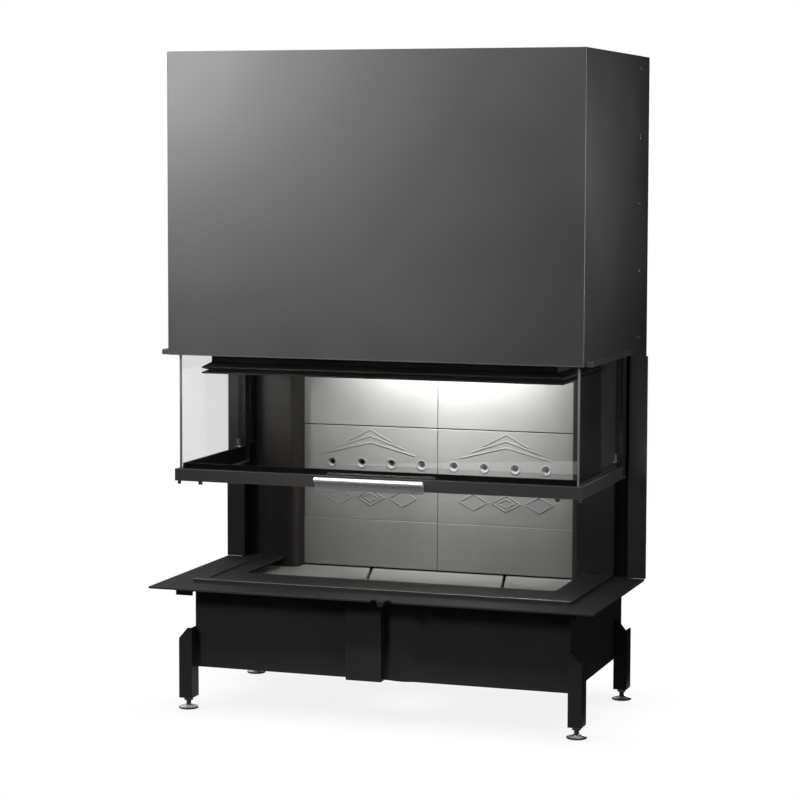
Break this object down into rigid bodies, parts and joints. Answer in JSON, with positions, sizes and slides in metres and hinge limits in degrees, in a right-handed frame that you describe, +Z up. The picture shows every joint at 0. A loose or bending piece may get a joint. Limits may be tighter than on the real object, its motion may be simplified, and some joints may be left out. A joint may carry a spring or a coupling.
{
  "type": "fireplace insert",
  "caption": "Three-sided fireplace insert on legs with a lifting U-shaped glass door shown half raised, tall steel casing, refractory lining and hearth flange.",
  "frame": {"origin": "middle of the whole outline's footprint, on the floor under the levelling feet", "axes": "+Z up, -Y out of the front towards the room, +X to the viewer's right; the casing and the door are symmetric across X"},
  "size_m": [1.08, 0.665, 1.55],
  "materials": {
    "casing_paint": "satin anthracite heat-resistant paint",
    "casing_screw_paint": "painted screw heads",
    "black_paint": "matt black heat-resistant paint",
    "dark_sheet": "dark brown-grey heat-resistant paint",
    "stainless": "satin stainless steel",
    "zinc": "bright zinc plating",
    "wire_rope": "steel wire rope",
    "firebrick": "matt light grey fireclay",
    "pane_glass": "clear ceramic glass"
  },
  "bodies": {
    "casing": {"hood_front_panel": "casing_paint", "hood_left_panel": "casing_paint", "hood_right_panel": "casing_paint", "hood_rear_panel": "casing_paint", "hood_top_cover": "casing_paint", "hood_base_frame": "casing_paint", "left_column_panel": "casing_paint", "right_column_panel": "casing_paint", "casing_screws": "casing_screw_paint", "lintel_frame": "black_paint", "smoke_dome": "dark_sheet", "flue_collar": "dark_sheet", "ceiling_baffle": "firebrick", "firebox_back_plate": "dark_sheet", "left_air_column": "dark_sheet", "right_air_column": "dark_sheet", "rear_brick_low_left": "firebrick", "rear_brick_low_right": "firebrick", "rear_brick_mid_left": "firebrick", "rear_brick_mid_right": "firebrick", "rear_brick_top_left": "firebrick", "rear_brick_top_right": "firebrick", "floor_brick_left": "firebrick", "floor_brick_centre": "firebrick", "floor_brick_right": "firebrick", "left_guide_channel": "black_paint", "right_guide_channel": "black_paint", "left_trim_fin": "casing_paint", "right_trim_fin": "casing_paint", "hearth_flange": "casing_paint", "hearth_rail": "casing_paint", "base_box": "black_paint", "duct_cover": "black_paint", "air_spigot": "dark_sheet", "front_left_leg": "black_paint", "front_right_leg": "black_paint", "rear_left_leg": "black_paint", "rear_right_leg": "black_paint", "pulley_brackets": "zinc", "cable_wraps": "wire_rope", "door_cables": "wire_rope", "weight_cables": "wire_rope"},
    "door": {"front_glass": "pane_glass", "left_glass": "pane_glass", "right_glass": "pane_glass", "door_lower_frame": "casing_paint", "glass_retainer": "black_paint", "door_upper_frame": "casing_paint", "door_carriages": "black_paint", "handle_rail": "stainless", "handle_plate": "stainless"},
    "counterweight": {"counterweight": "dark_sheet"},
    "left_pulley": {"left_pulley": "zinc"},
    "right_pulley": {"right_pulley": "zinc"},
    "air_lever": {"air_lever": "black_paint"},
    "front_left_foot": {"front_left_foot": "zinc"},
    "front_right_foot": {"front_right_foot": "zinc"},
    "rear_left_foot": {"rear_left_foot": "zinc"},
    "rear_right_foot": {"rear_right_foot": "zinc"}
  },
  "joints": [
    {"name": "door_lift", "type": "slide", "parent": "casing", "child": "door", "axis": [0, 0, 1], "range_m": [-0.2365, 0.252], "deforming": ["door_cables"]},
    {"name": "counterweight_lift", "type": "slide", "parent": "casing", "child": "counterweight", "axis": [0, 0, 1], "range_m": [-0.252, 0.2365], "deforming": ["weight_cables"]},
    {"name": "left_pulley_spin", "type": "hinge", "parent": "casing", "child": "left_pulley", "pos_m": [-0.4775, 0.2435, 1.44], "axis": [1, 0, 0], "range_deg": [-263, 247]},
    {"name": "right_pulley_spin", "type": "hinge", "parent": "casing", "child": "right_pulley", "pos_m": [0.4775, 0.2435, 1.44], "axis": [1, 0, 0], "range_deg": [-263, 247]},
    {"name": "air_slide", "type": "slide", "parent": "casing", "child": "air_lever", "axis": [1, 0, 0], "range_m": [-0.013, 0.013]},
    {"name": "front_left_levelling", "type": "hinge", "parent": "casing", "child": "front_left_foot", "pos_m": [-0.4755, -0.2335, 0], "axis": [0, 0, 1], "continuous": true},
    {"name": "front_right_levelling", "type": "hinge", "parent": "casing", "child": "front_right_foot", "pos_m": [0.4755, -0.2335, 0], "axis": [0, 0, 1], "continuous": true},
    {"name": "rear_left_levelling", "type": "hinge", "parent": "casing", "child": "rear_left_foot", "pos_m": [-0.4755, 0.1985, 0], "axis": [0, 0, 1], "continuous": true},
    {"name": "rear_right_levelling", "type": "hinge", "parent": "casing", "child": "rear_right_foot", "pos_m": [0.4755, 0.1985, 0], "axis": [0, 0, 1], "continuous": true}
  ],
  "couplings": [
    {"joint": "counterweight_lift", "follows": "door_lift", "ratio": -1},
    {"joint": "left_pulley_spin", "follows": "door_lift", "rad_per_m": -18.182},
    {"joint": "right_pulley_spin", "follows": "door_lift", "rad_per_m": -18.182}
  ]
}
